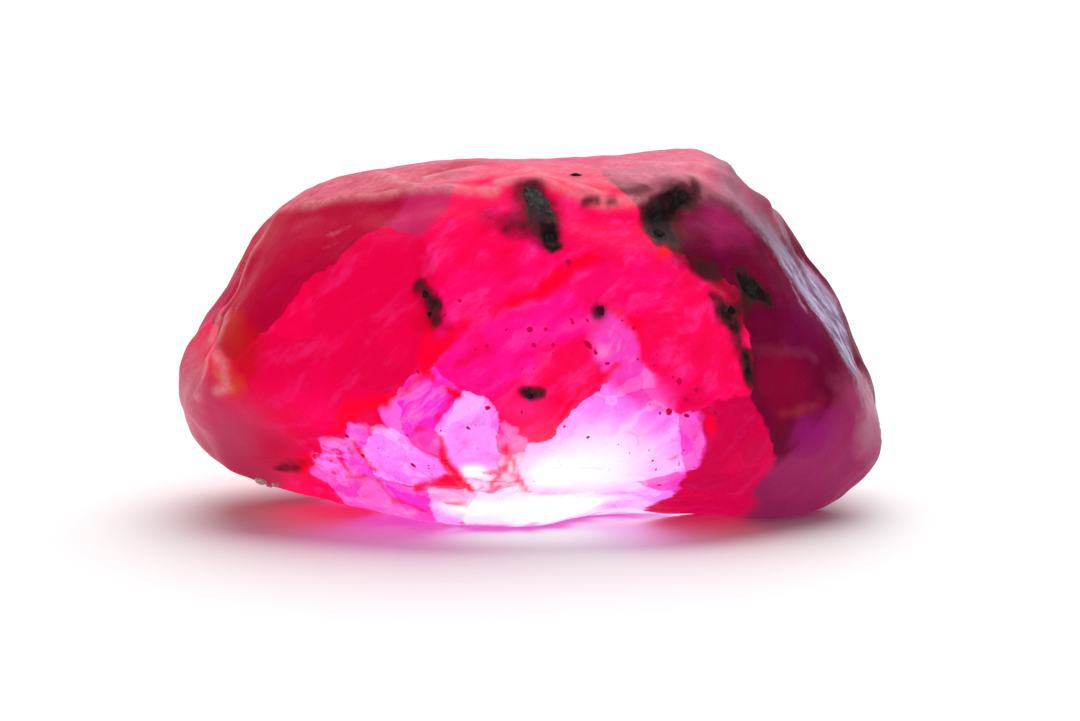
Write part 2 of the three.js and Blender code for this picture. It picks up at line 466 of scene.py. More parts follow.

# %% [markdown]
# ## The blocks of the inside
#
# Light that enters at the foot shows how the crystal is broken inside: clear violet blocks near
# the lamp, then pink, scarlet and crimson ones, then a dark wine-coloured part that the light
# hardly reaches. The blocks meet at crisp, slightly wandering faces, and iron has stained those
# faces red.
#
# A ready-made cell texture would put the blocks anywhere. Here each kind of ruby has a short list
# of balls instead, which grow until they meet, as foam does. The kind whose ball is nearest wins
# the place. How near a kind is changes slowly along the skin, so it is worked out once for each
# point, and the shader only compares the kinds. That keeps the edges crisp and the render quick.

# %% Kinds of ruby
# Each kind: its colour where little light comes, its colour near the lamp, the share of its light
# that comes from within, how soft its edges are in millimetres, and its balls (x, y, z, radius).
# Both colours of a kind and its share of glow hold painted light from a lamp under the foot; the white kind
# is that light's glare, and wine and shade lie where it hardly reaches.
KINDS = {
    "raspberry": ((196, 50, 92), (206, 54, 100), 0.35, 0.3, [(-12.4, 3.2, 4.4, 2.4)]),
    "film": ((186, 0, 54), (196, 2, 64), 0.55, 0.06, [
        (-10.5, -5.0, 9.7, 2.5), (-8.1, -4.9, 11.7, 1.9), (-6.3, -4.7, 12.9, 1.2),
        (-5.6, 6.0, 11.4, 2.2), (3.2, 6.6, 12.0, 1.9), (-8.5, 2.0, 12.4, 1.5)]),
    "mauve": ((208, 34, 100), (216, 46, 114), 0.45, 0.5, [
        (-3.8, -7.0, 12.6, 0.8), (6.4, -1.4, 14.1, 0.9), (-1.5, 3.5, 14.0, 1.5)]),
    "crimson": ((236, 0, 70), (255, 0, 96), 0.93, 0.06, [
        (-12.2, -4.4, 4.2, 2.6), (-7.9, -7.7, 7.3, 3.1), (-5.9, -8.0, 9.5, 1.9), (-4.9, -7.9, 10.9, 1.0),
        (-7.0, -8.4, 5.9, 1.35), (-4.6, -8.9, 8.1, 0.75), (-8.8, -6.2, 3.9, 0.8), (-8.2, 6.2, 6.6, 2.6),
        (7.6, 6.4, 7.0, 1.9)]),
    "scarlet": ((253, 6, 86), (255, 16, 120), 0.96, 0.30, [
        (-2.2, -8.4, 12.2, 1.7), (1.7, -9.4, 6.5, 1.3), (-0.3, -9.6, 6.1, 0.5), (6.2, -8.0, 8.4, 2.2),
        (2.7, -7.4, 12.3, 1.6), (8.1, -7.0, 7.6, 0.5), (0.3, -9.6, 5.3, 0.5), (-9.0, -3.4, 1.5, 0.45),
        (2.2, 8.4, 9.6, 2.1), (-3.6, 8.2, 8.8, 1.6), (6.6, 7.0, 4.4, 1.0)]),
    "hot": ((255, 8, 106), (255, 24, 152), 0.97, 0.70, [
        (-1.9, -9.1, 9.6, 1.4), (2.9, -8.8, 10.0, 1.0), (0.6, -8.8, 11.0, 0.9), (4.7, -8.4, 9.6, 1.3),
        (-0.6, 9.0, 6.8, 1.5), (4.4, 8.2, 6.4, 1.3), (-6.0, 7.6, 4.0, 1.2)]),
    "pink": ((255, 12, 138), (255, 44, 190), 0.97, 0.60, [
        (-1.4, -9.4, 7.9, 1.5), (1.2, -9.1, 9.0, 0.7), (6.2, -8.4, 7.6, 1.05), (5.2, -8.7, 7.7, 0.6),
        (1.6, 8.9, 4.6, 1.2), (-3.6, 8.5, 4.8, 1.1)]),
    "rose": ((255, 60, 170), (254, 150, 226), 1.00, 0.10, [
        (-0.7, -9.4, 4.4, 0.15), (-5.4, 5.0, 1.0, 0.8), (5.6, 5.6, 1.2, 0.7)]),
    "shards": ((253, 150, 214), (255, 214, 244), 1.02, 0.05, [
        (-0.7, -9.2, 3.5, 0.35), (-0.8, -8.4, 2.5, 0.30), (-3.1, -7.0, 1.6, 0.30)]),
    "violet": ((252, 20, 208), (254, 62, 250), 1.00, 0.05, [
        (-3.9, -9.4, 6.0, 0.6), (-4.9, -9.3, 5.3, 0.4), (-3.5, -9.5, 5.4, 0.45), (-6.7, -8.1, 4.4, 0.5),
        (-7.1, -6.3, 2.9, 0.3), (-4.6, -6.4, 1.6, 0.55), (-1.4, 8.4, 3.0, 0.8), (3.4, 8.0, 2.6, 0.7)]),
    "pale": ((252, 124, 246), (255, 176, 255), 1.05, 0.04, [
        (3.0, -9.5, 4.8, 1.65), (1.4, -8.8, 3.0, 1.6), (4.7, -9.0, 3.7, 1.15), (4.1, -6.6, 1.4, 0.9),
        (-2.3, -9.8, 4.7, 0.7), (-2.1, -9.0, 3.4, 0.6), (-3.0, -9.7, 4.95, 0.3), (-3.2, -6.5, 1.2, 0.3),
        (0.9, 7.8, 1.8, 1.0), (-2.6, 5.4, 0.4, 1.0)]),
    "stem": ((252, 62, 188), (254, 120, 246), 1.00, 0.55, [
        (3.6, -9.0, 7.7, 0.80), (3.2, -9.0, 8.8, 0.4), (4.1, -9.2, 6.5, 0.90)]),
    "low violet": ((252, 60, 206), (254, 122, 250), 1.00, 0.06, [
        (6.0, -8.6, 3.9, 0.60), (5.2, -7.5, 2.3, 0.45), (4.6, -7.2, 1.6, 0.25)]),
    "orchid": ((252, 116, 246), (254, 164, 255), 1.03, 0.04, [
        (-5.0, -8.1, 3.4, 0.85), (-4.0, -8.6, 3.4, 0.50), (-5.8, -8.1, 4.0, 0.35), (-4.9, -7.4, 2.6, 0.35)]),
    "magenta": ((250, 60, 196), (254, 106, 246), 1.00, 0.08, [
        (-3.6, -9.4, 4.6, 0.30), (-7.5, -6.8, 3.6, 0.6), (-7.6, -6.0, 2.8, 0.4), (-6.1, -5.2, 1.7, 0.5),
        (-4.7, -5.7, 1.1, 0.2), (5.4, 7.4, 1.8, 0.8), (-4.8, 7.2, 2.2, 0.7)]),
    "white": ((254, 214, 252), (255, 255, 255), 1.10, 0.45, [
        (-0.2, -7.7, 2.0, 0.4), (-1.3, -6.5, 1.0, 0.55), (1.4, -6.6, 1.0, 1.1), (-2.0, -8.8, 3.0, 0.45),
        (0.5, -1.0, 0.0, 2.4)]),
    "red": ((248, 8, 60), (252, 50, 130), 0.95, 0.35, [(-3.2, -8.0, 2.6, 0.02)]),
    "wine": ((98, 2, 46), (150, 2, 56), 0.62, 0.07, [
        (7.5, -5.8, 11.5, 1.2), (10.5, -5.0, 7.9, 2.1), (10.5, -5.9, 5.7, 1.3),
        (9.6, 4.2, 10.4, 1.9), (11.8, 2.6, 6.4, 1.7)]),
    "shade": ((92, 10, 32), (104, 8, 34), 0.50, 0.25, [
        (5.1, -6.0, 12.4, 0.75), (6.8, -7.0, 10.4, 0.45), (4.3, -6.0, 13.5, 0.3)]),
    "wedge": ((208, 0, 70), (246, 2, 100), 0.92, 0.14, [
        (7.7, -8.2, 3.8, 0.95), (7.1, -7.2, 2.2, 0.8), (6.6, -5.8, 0.8, 0.7)]),
    "plum": ((146, 36, 90), (184, 54, 98), 0.60, 0.50, [
        (12.2, -4.8, 3.7, 0.9), (11.2, -4.9, 1.9, 1.0), (10.6, 4.2, 2.0, 1.6)]),
    "grey": ((150, 72, 94), (158, 80, 104), 0.30, 0.25, [(5.5, -5.1, 13.7, 0.8), (8.2, 2.4, 13.0, 1.2)]),
}
print(len(KINDS), "kinds of ruby in", sum(len(kind[4]) for kind in KINDS.values()), "blocks")

# %% How near each kind is
FAR = 50.0
for name, (_, _, _, _, balls) in KINDS.items():
    nearest = np.full(len(points), FAR)
    for x, y, z, radius in balls:
        nearest = np.minimum(nearest, np.linalg.norm(torn - np.array((x, y, z)), axis=1) - radius)
    keep_mark(skin, name + "_gap", nearest)

# No lamp is in the scene: the glow is painted light that fades with the distance from this point under the
# foot.
LAMP = (0.8, -3.0, 0.0)
GLOW_REACH = 12.5
lamp_light_falloff = within(1 - np.linalg.norm(points - np.array(LAMP), axis=1) / GLOW_REACH)
lamp_light_falloff += 0.25 * noise_field(0.6, 51)
keep_mark(skin, "heat", smooth((lamp_light_falloff - 0.08) / 0.60))
print("points warmed by the lamp:", int((lamp_light_falloff > 0.3).sum()))

# %% [markdown]
# ## Stains, frost and painted sheen
#
# Over the inside lies the skin: frosted, stained and in places opaque. Each stain is soft and
# wide, so it too can be worked out for the skin's points. It is an egg or a line that fades to
# its sides, laid in a place stirred by noise, which tears its edges. The stains are glazed over
# each other in a layer, as a painter does, and the shader lays the layer over the blocks.


# %% Layers of stains
def shown(red, green, blue):
    """A colour given as a screen shows it, 0 to 255, in the linear light that shaders want."""
    light = [value / 255 for value in (red, green, blue)]
    return tuple(v / 12.92 if v <= 0.04045 else ((v + 0.055) / 1.055) ** 2.4 for v in light) + (1.0,)


def egg(middle, size, softness=0.7, strength=1.0, places=frayed):
    """An egg-shaped mask: full in the middle, nothing at its size."""
    away_from = np.linalg.norm((places - np.array(middle)) / np.array(size), axis=1)
    return strength * smooth((1 - away_from) / softness)


def line(start, end, width, softness=1.0, strength=1.0, places=torn):
    """A mask along a line: full in the middle, nothing at its half width."""
    return strength * smooth((1 - distance_to_line(places, [start, end]) / width) / softness)


def keep_layer(name, coats):
    """Glazes the coats (mask, tint, share of the glow held back) over each other and keeps the layer."""
    tints = np.zeros((len(points), 3))
    cover = np.zeros(len(points))
    lets_through = np.zeros(len(points))
    for mask, tint, holds_back in coats:
        tints = tints * (1 - mask)[:, None] + mask[:, None] * np.array(shown(*tint)[:3])
        cover = cover * (1 - mask) + mask
        lets_through = lets_through * (1 - mask) + mask * (1 - holds_back)
    keep_mark(skin, name + "_tint", tints)
    keep_mark(skin, name + "_cover", cover)
    keep_mark(skin, name + "_glow", lets_through)
    print(name, "layer:", len(coats), "coats")


# %% Stains: the nose is raspberry with a rust stain, the right shoulder purple
keep_layer("stain", [
    (egg((-13.4, -4.0, 2.6), (5.2, 7.2, 4.8), 0.40, 0.94), (196, 50, 92), 0.62),
    (egg((-9.9, -4.6, 3.2), (1.5, 2.6, 2.0), 0.9, 0.7), (202, 4, 58), 0.4),
    (egg((-8.0, -7.7, 5.2), (2.2, 2.4, 1.9), 1.0, 0.85), (255, 0, 92), 0.06),
    (egg((-10.9, -5.6, 6.9), (1.5, 2.6, 1.8), 0.8, 0.95), (204, 14, 26), 0.35),
    (egg((-11.6, -4.4, 8.0), (0.9, 3.0, 1.7), 0.8, 0.90), (194, 44, 30), 0.50),
    (egg((-10.4, -0.6, 11.2), (3.0, 3.0, 1.6), 0.9, 0.5), (206, 92, 92), 0.5),
    # These two make the top of the knob grey-mauve.
    (egg((6.2, -4.0, 13.4), (3.2, 3.0, 0.9), 0.8, 0.85), (158, 88, 106), 0.70),
    (egg((6.0, -1.6, 14.2), (2.3, 2.2, 0.5), 0.6, 0.85), (192, 96, 128), 0.7),
    # Darker red in the pits.
    (0.6 * pit_mark, (150, 14, 34), 0.5),
    (line((-7.6, -5.4, 11.8), (-6.7, -5.9, 12.2), 0.2, 1.0, 0.6), (214, 96, 128), 0.5),
    (line((-7.9, -5.9, 11.2), (-7.4, -6.1, 11.3), 0.2, 1.0, 0.5), (210, 80, 112), 0.5),
    (egg((7.5, -5.2, 11.9), (2.0, 2.2, 1.5), 0.9, 0.9), (158, 20, 88), 0.36),
    (egg((9.9, -6.2, 6.0), (2.2, 2.0, 2.0), 0.9, 0.7), (144, 4, 50), 0.4),
    (egg((10.9, -4.6, 8.0), (1.4, 2.0, 2.0), 1.0, 0.6), (112, 4, 74), 0.4),
    (egg((6.4, -8.6, 5.8), (1.1, 1.6, 0.9), 1.0, 0.8), (228, 0, 72), 0.08),
    (egg((-0.3, -9.7, 5.3), (1.6, 1.6, 0.8), 1.0, 0.6), (252, 40, 136), 0.03),
    (egg((-2.3, -9.3, 8.3), (0.9, 1.0, 0.6), 1.0, 0.7), (255, 8, 84), 0.03),
    (egg((11.0, -5.6, 3.8), (1.5, 2.4, 1.5), 0.8, 0.8), (146, 18, 108), 0.42),
    (egg((12.6, -4.2, 5.6), (1.2, 2.4, 1.5), 0.9, 0.7), (150, 52, 92), 0.6),
    (line((9.0, -6.8, 4.6), (12.2, -5.0, 5.2), 0.40, 1.0, 0.7), (158, 40, 56), 0.5),
    (line((8.5, -6.9, 7.3), (11.0, -5.0, 6.9), 0.34, 1.0, 0.2), (160, 70, 108), 0.6),
])

# %% Frost on the nose's end, and painted sheen on the top and the crests, where pale surroundings would mirror. The shader breaks the layer into speckles.
painted_top_sheen = within((normals[:, 2] + 0.35 * normals[:, 1] - 0.62) / 0.23) * (points[:, 2] > 6)
painted_top_sheen *= np.clip(0.85 + 0.6 * noise_field(0.45, 53) + 0.3 * noise_field(1.6, 54), 0.3, 1)
keep_layer("frost_and_sheen", [
    (egg((-12.4, -3.6, 2.9), (2.8, 4.0, 2.6), 0.9, 0.9), (180, 62, 96), 0.7),
    (egg((-14.1, -2.2, 5.0), (2.5, 6.5, 6.0), 0.9, 0.75), (214, 134, 154), 0.7),
    (egg((-11.5, -5.4, 6.2), (0.9, 2.0, 1.0), 0.9, 0.9), (212, 84, 40), 0.6),
    (egg((-13.0, -3.2, 6.3), (1.3, 3.0, 1.9), 0.9, 0.7), (206, 122, 130), 0.7),
    # Painted reflection: the up-facing top and the crests are lightened as if they mirrored the pale
    # surroundings.
    (0.80 * painted_top_sheen, (236, 134, 156), 0.50),
    (0.72 * painted_crest_sheen, (236, 156, 166), 0.6),
])

# %% Marks: the veins and fine streaks that lie over the frost and the stepped band, with painted light on the band and a painted glow along the foot
# Each vein: where it starts and ends, its half width and its strength.
VEINS = [
    ((-3.7, -9.3, 7.6), (-1.8, -9.2, 9.0), 0.39, 1.00),
    ((-1.8, -9.2, 9.0), (0.6, -8.9, 10.2), 0.36, 1.00),
    ((0.6, -8.9, 10.2), (2.4, -8.6, 11.1), 0.43, 1.00),
    ((2.8, -8.8, 9.6), (4.4, -8.8, 8.4), 0.27, 0.72),
    ((-3.8, -9.1, 8.8), (-3.8, -9.4, 7.0), 0.35, 0.92),
    ((-3.8, -9.4, 7.0), (-2.7, -9.7, 5.9), 0.25, 1.00),
    ((-2.7, -9.7, 5.9), (-3.4, -9.7, 5.2), 0.23, 0.92),
    ((-3.4, -9.7, 5.2), (-3.1, -9.2, 3.7), 0.27, 0.92),
    ((-3.1, -9.2, 3.7), (-2.6, -8.3, 2.6), 0.34, 1.00),
    ((-2.6, -8.3, 2.6), (-2.1, -7.7, 2.0), 0.25, 1.00),
    ((-3.8, -9.4, 7.0), (-5.4, -9.1, 5.7), 0.38, 0.92),
    ((-5.4, -9.1, 5.7), (-7.0, -8.2, 4.9), 0.48, 1.00),
    ((-7.0, -8.2, 4.9), (-8.2, -6.4, 3.3), 0.44, 1.00),
    ((-8.2, -6.4, 3.3), (-9.0, -4.6, 2.2), 0.38, 1.00),
    ((-6.8, -7.9, 4.1), (-5.9, -6.8, 2.7), 0.23, 0.82),
    ((-3.3, -8.2, 2.8), (-4.4, -7.0, 2.0), 0.31, 0.92),
    ((-0.9, -9.7, 4.3), (-1.3, -7.9, 2.1), 0.17, 0.72),
    ((-0.9, -9.7, 4.3), (0.1, -7.7, 2.0), 0.17, 0.72),
    ((-0.3, -9.1, 3.2), (-1.1, -7.9, 2.1), 0.18, 0.72),
    ((6.9, -8.4, 4.9), (7.2, -7.8, 3.4), 0.27, 0.92),
    ((7.2, -7.8, 3.4), (6.4, -6.0, 1.6), 0.27, 0.82),
    ((0.8, -9.5, 4.9), (2.0, -9.5, 6.2), 0.21, 0.90),
    ((2.0, -9.5, 6.2), (3.4, -9.1, 7.2), 0.19, 0.80),
    ((-1.6, -9.5, 4.3), (-0.6, -8.6, 2.9), 0.14, 0.70),
    ((-1.9, -8.4, 2.6), (-0.2, -8.2, 2.6), 0.13, 0.60),
    ((5.0, -8.9, 3.0), (6.6, -8.6, 4.6), 0.16, 0.55),
]
# A painted glow along the resting face, as if the lamp's light came out there; it fades out to the right.
GLOW_RIM_HEIGHT = 0.4
glow_rim_height = points[:, 2] + 0.25 * noise_field(1.2, 52)
painted_foot_glow = 0.85 * smooth((GLOW_RIM_HEIGHT - glow_rim_height) / 0.3) * within((6.0 - points[:, 0]) / 2)
VEIN_RED = (252, 0, 50)
veins = [(line(start, end, width, 0.7, strength), VEIN_RED, 0.03) for start, end, width, strength in VEINS]
keep_layer("mark", veins + [
    (egg((-3.0, -8.1, 2.5), (0.65, 1.0, 0.42), 1.0, 0.95), (255, 4, 60), 0.0),
    (egg((1.4, -9.5, 6.0), (0.5, 0.8, 0.35), 1.0, 0.6), (255, 10, 44), 0.0),
    (line((-11.9, -4.8, 7.5), (-12.4, -4.9, 6.4), 0.24, 1.0, 0.6), (216, 132, 112), 0.7),
    (line((-12.2, -5.2, 6.8), (-11.6, -5.9, 6.1), 0.24, 1.0, 0.55), (210, 116, 76), 0.65),
    (line((-12.4, -4.9, 6.4), (-12.8, -4.6, 5.3), 0.26, 1.0, 0.5), (206, 118, 112), 0.65),
    # Painted light on the band: a dark and a pale line paint the shaded and lit sides of a step, and two grey
    # patches paint the band's reflection.
    (line((10.6, -3.4, 9.5), (11.3, -2.9, 8.7), 0.18, 0.8, 0.75), (64, 34, 54), 0.95),
    (line((10.3, -3.7, 9.3), (11.2, -3.6, 8.2), 0.18, 1.0, 0.6), (186, 150, 176), 0.9),
    (egg((13.6, -2.0, 4.2), (0.9, 4.0, 3.0), 0.9, 0.7), (186, 124, 148), 0.85),
    (egg((8.4, -2.2, 12.8), (2.2, 2.6, 1.4), 0.9, 0.6), (148, 112, 130), 0.85),
    (line((-4.1, -8.6, 10.1), (-3.7, -9.0, 8.8), 0.80, 1.0, 0.75, frayed), (190, 0, 40), 0.3),
    (line((-3.8, -9.0, 8.9), (-3.6, -9.1, 8.6), 0.34, 0.9, 0.8), (190, 16, 10), 0.4),
    (line((6.2, -7.6, 10.7), (7.7, -7.0, 9.6), 0.30, 1.0, 0.7), (206, 70, 96), 0.1),
    (egg((5.05, -7.4, 11.35), (0.42, 0.6, 0.32), 0.7, 1.0, torn), (255, 22, 34), 0.0),
    (painted_foot_glow, (238, 70, 206), 0.08),
])

# %% [markdown]
# Smoke-like stains lie around the dark grains, where fine mineral dust is shut in the ruby. Their
# fades are multiplied, so that stains which cross get darker. One red dot stays clear of smoke.

# %% Smoke around the grains
# Each stain: where it starts and ends, its half width, its softness and its strength.
SMOKE = [
    ((-1.5, -8.0, 12.7), (0.0, -8.3, 12.5), 1.15, 1.0, 0.34),
    ((-0.6, -8.2, 12.5), (0.5, -8.6, 11.8), 0.85, 1.0, 0.34),
    ((0.1, -7.4, 13.6), (0.8, -8.2, 12.7), 1.30, 1.0, 0.80),
    ((0.4, -8.1, 12.9), (0.95, -8.5, 12.1), 0.85, 0.9, 0.66),
    ((0.9, -8.5, 12.1), (0.98, -8.6, 11.8), 0.50, 0.5, 1.00),
    ((6.4, -4.6, 13.3), (5.6, -5.5, 13.0), 1.05, 1.0, 0.88),
    ((5.7, -5.4, 13.0), (4.9, -6.3, 12.5), 1.20, 1.0, 0.92),
    ((5.0, -6.2, 12.5), (5.2, -6.8, 11.8), 1.15, 0.9, 0.98),
    ((5.7, -7.3, 11.1), (7.3, -6.6, 10.6), 0.70, 1.0, 0.52),
    ((6.6, -7.0, 10.8), (7.6, -6.6, 9.8), 0.75, 1.0, 0.55),
    ((8.5, -6.0, 9.9), (8.9, -5.8, 9.6), 0.85, 0.8, 1.00),
    ((8.9, -5.9, 9.5), (9.3, -5.7, 9.0), 0.60, 1.0, 0.85),
    ((8.4, -6.4, 9.2), (7.6, -6.9, 8.8), 1.00, 1.0, 0.72),
    ((7.2, -7.3, 9.6), (7.9, -7.0, 8.3), 0.50, 1.0, 0.60),
    ((7.9, -7.0, 8.4), (8.4, -7.0, 6.9), 0.70, 1.0, 0.60),
    ((8.5, -6.9, 6.9), (8.6, -7.1, 6.3), 0.70, 1.0, 0.84),
    ((8.5, -7.0, 6.2), (10.1, -6.5, 4.0), 0.34, 1.0, 0.40),
    ((-4.2, -8.6, 10.15), (-3.75, -8.9, 9.5), 0.55, 0.9, 0.88),
    ((-3.75, -8.95, 9.3), (-3.6, -9.0, 8.8), 0.45, 0.9, 0.70),
    ((2.8, -8.9, 9.25), (2.8, -8.9, 9.15), 0.55, 0.9, 0.60),
    ((-0.05, -9.5, 6.12), (0.28, -9.5, 6.05), 0.36, 0.8, 0.85),
    ((2.0, -7.1, 13.3), (2.4, -7.0, 13.2), 0.46, 1.0, 0.60),
    ((3.0, -6.8, 13.1), (3.3, -6.7, 13.1), 0.38, 1.0, 0.54),
    ((1.3, -5.0, 14.3), (2.4, -5.1, 14.2), 0.50, 0.9, 0.75),
    ((-9.7, -3.8, 2.1), (-8.6, -5.2, 3.0), 0.46, 1.0, 0.60),
    ((-2.7, 8.4, 8.6), (-1.4, 8.9, 6.8), 1.05, 1.0, 0.92),
    ((5.6, 7.2, 9.8), (6.6, 7.2, 8.8), 0.95, 1.0, 0.92),
    ((3.0, 8.3, 3.8), (3.4, 8.3, 3.0), 0.56, 1.0, 0.80),
    ((-13.1, 1.4, 6.4), (-12.7, 1.9, 5.8), 0.56, 1.0, 0.80),
]
smoky = (torn + frayed) / 2
clear = np.ones(len(points))
for start, end, width, softness, strength in SMOKE:
    clear *= 1 - line(start, end, width, softness, strength, smoky)
red_dot = egg((5.05, -7.4, 11.35), (0.45, 0.7, 0.36), 0.5, 1.0, torn)
keep_mark(skin, "smoke", (1 - clear) * (1 - red_dot))
print("smoke:", len(SMOKE), "stains")

# %% Two more masks: where the painted lamp light burns out all colour, and the broken foot under the nose
LAMP_GLARE = [
    ((2.1, -8.8, 3.0), (4.6, 3.6, 3.0), 1.0),
    ((1.3, -8.8, 2.9), (2.3, 2.6, 1.7), 0.7),
    ((1.4, -6.6, 1.0), (4.6, 2.6, 1.3), 0.7),
    ((-2.0, -6.6, 1.1), (2.2, 1.4, 0.6), 0.8),
    ((-2.0, -8.9, 3.1), (0.7, 1.4, 0.6), 0.8),
    ((1.0, 2.0, 0.0), (4.0, 4.0, 1.6), 0.9),
]
keep_mark(skin, "lamp_glare", np.max([egg(*spot, 1.0, torn) for spot in LAMP_GLARE], axis=0))
keep_mark(skin, "broken_foot", egg((-7.5, -6.2, 2.9), (1.3, 2.6, 1.7), 0.7))


# %% [markdown]
# ## Node helpers
#
# The finish needs many small nodes, so they are made by short helpers. Each helper makes its node
# in `tree`, the node tree in hand, fills the sockets and gives back what the node puts out.


# %% Helpers that make the nodes
def fill(socket, value):
    """Links the socket to another socket, or sets it to a number, vector or colour."""
    if isinstance(value, bpy.types.NodeSocket):
        tree.links.new(value, socket)
    else:
        socket.default_value = value


def node(kind, inputs=(), **settings):
    """A node with its settings made and its inputs (pairs of socket and value) filled."""
    made = tree.nodes.new("ShaderNode" + kind)
    for name, value in settings.items():
        setattr(made, name, value)
    for socket, value in inputs:
        fill(made.inputs[socket], value)
    return made.outputs


def sums(operation, *values):
    """A Math node."""
    return node("Math", enumerate(values), operation=operation)["Value"]


def times(first, second):
    """Two numbers multiplied."""
    return sums("MULTIPLY", first, second)


def kept_within(value):
    """The value kept between 0 and 1."""
    return sums("MINIMUM", sums("MAXIMUM", value, 0.0), 1.0)


def vector_sums(operation, *values):
    """A Vector Math node. DOT_PRODUCT gives a number, the rest a vector."""
    made = node("VectorMath", enumerate(values), operation=operation)
    return made["Value" if operation == "DOT_PRODUCT" else "Vector"]


def scaled(vector, factor):
    """A vector made longer or shorter."""
    return node("VectorMath", (("Vector", vector), ("Scale", factor)), operation="SCALE")["Vector"]


def joined(x, y, z=0.0):
    """A vector made of three numbers."""
    return node("CombineXYZ", enumerate((x, y, z)))["Vector"]


def ramped(value, start, end, low=0.0, high=1.0):
    """A smooth step: low below start, high above end. It needs no clamp to stay within them."""
    ends = (("Value", value), ("From Min", start), ("From Max", end), ("To Min", low), ("To Max", high))
    return node("MapRange", ends, interpolation_type="SMOOTHSTEP", clamp=False)["Result"]


def blended(factor, first, second, how="MIX"):
    """One colour laid over another. A Mix node's sockets 6 and 7, counted from 0, take colours."""
    return node("Mix", ((0, factor), (6, first), (7, second)), data_type="RGBA", blend_type=how)[2]


def blended_value(factor, first, second):
    """One number faded into another."""
    return node("Mix", ((0, factor), (2, first), (3, second)))[0]


def cloud(place, scale, detail=2.0, roughness=0.5):
    """Soft noise. Its features are about 1 / scale millimetres wide."""
    values = (("Vector", place), ("Scale", scale), ("Detail", detail), ("Roughness", roughness))
    return node("TexNoise", values)[0]


def shards(place, scale, feature="F1"):
    """The outputs of a Voronoi node: the space broken into cells about 1 / scale millimetres wide."""
    return node("TexVoronoi", (("Vector", place), ("Scale", scale)), feature=feature)


def bumped(height, strength, distance):
    """A normal tilted by a height."""
    return node("Bump", (("Strength", strength), ("Distance", distance), ("Height", height)))["Normal"]


def new_group(name, takes, gives):
    """An empty node group with named inputs and outputs, and its two end nodes. It is then in hand."""
    global tree
    tree = group = bpy.data.node_groups.new(name, "ShaderNodeTree")
    for socket, kind in takes.items():
        group.interface.new_socket(socket, in_out="INPUT", socket_type="NodeSocket" + kind)
    for socket, kind in gives.items():
        group.interface.new_socket(socket, in_out="OUTPUT", socket_type="NodeSocket" + kind)
    return group, group.nodes.new("NodeGroupInput").outputs, group.nodes.new("NodeGroupOutput").inputs


def placed(group, **values):
    """The group as one node, with its inputs filled. Gives back its outputs."""
    return node("Group", ((name.capitalize(), value) for name, value in values.items()), node_tree=group)


def mark_of(name, output="Fac"):
    """A mark kept on the skin's points."""
    return node("Attribute", attribute_name=name)[output]


print("helpers ready")

# %% [markdown]
# ## Shared effects as node groups
#
# *Worn skin* gives the height of fine scratches and pits and a mottled mask, for the ruby and for
# the dark grains alike. *Ruby blocks* compares the kinds and gives the winner's colours.

# %% Worn skin
worn_skin, takes, gives = new_group(
    "Worn skin",
    {"Place": "Vector", "Scratches": "Float", "Pits": "Float"},
    {"Height": "Float", "Mottle": "Float"},
)
stretched = vector_sums("MULTIPLY", takes["Place"], (1.0, 1.0, 0.22))
scratch = times(cloud(stretched, 7.0, 3.0), takes["Scratches"])
grain = cloud(takes["Place"], 9.0, 4.0, roughness=0.65)
pit_size = ramped(shards(takes["Place"], 2.6)["Distance"], 0.08, 0.30)
pit = times(sums("SUBTRACT", pit_size, 1.0), takes["Pits"])
fill(gives["Height"], sums("ADD", sums("ADD", scratch, grain), pit))
fill(gives["Mottle"], cloud(takes["Place"], 3.1, 5.0, roughness=0.7))
print("shared groups:", [group.name for group in bpy.data.node_groups])

# %% Ruby blocks
ruby_blocks, takes, gives = new_group(
    "Ruby blocks",
    {"Wander": "Float", "Softness": "Float"},
    {"Dim colour": "Color", "Lamp colour": "Color", "Lit": "Float", "Gap": "Float"},
)
best = second = FAR
dim_colour = lamp_colour = (0.0, 0.0, 0.0, 1.0)
lit = 0.0
for name, (dim, lamp, share, softness, _) in KINDS.items():
    nearest = mark_of(name + "_gap")
    lead = sums("ADD", sums("SUBTRACT", best, nearest), takes["Wander"])
    soft = times(takes["Softness"], softness)
    wins = ramped(lead, times(soft, -1.0), soft)
    second = sums("MINIMUM", second, sums("MAXIMUM", nearest, best))
    best = sums("MINIMUM", best, nearest)
    dim_colour = blended(wins, dim_colour, shown(*dim))
    lamp_colour = blended(wins, lamp_colour, shown(*lamp))
    lit = blended_value(wins, lit, share)
fill(gives["Dim colour"], dim_colour)
fill(gives["Lamp colour"], lamp_colour)
fill(gives["Lit"], lit)
fill(gives["Gap"], sums("SUBTRACT", second, best))
print("nodes in Ruby blocks:", len(ruby_blocks.nodes))

# %% [markdown]
# ## The ruby's finish
#
# Corundum bends light strongly (its index is 1.77), and this stone lets light through without
# being clear: it is full of tiny fractures. So the shader passes a tenth of the light, and the rest
# scatters at the skin. The glow from the foot can't come from a studio light above, so each block
# carries its own share of it as emission.

# %% Blocks, lit near the lamp by painted light
ruby_finish, ruby = new_material("ruby_finish")
tree = ruby_finish.node_tree
place = scaled(node("TexCoord")["Object"], 1 / MM)
ragged = mark_of("torn_place", "Vector")
fine_wander = sums("MULTIPLY_ADD", cloud(place, 4.0, 3.0, roughness=0.6), 0.36, -0.18)
edge_softness = ramped(cloud(place, 0.6, 1.0), 0.40, 0.62, 0.6, 1.6)
blocks = placed(ruby_blocks, wander=fine_wander, softness=edge_softness)
inside = blended(mark_of("heat"), blocks["Dim colour"], blocks["Lamp colour"])
split = node("SeparateXYZ", [("Vector", place)])

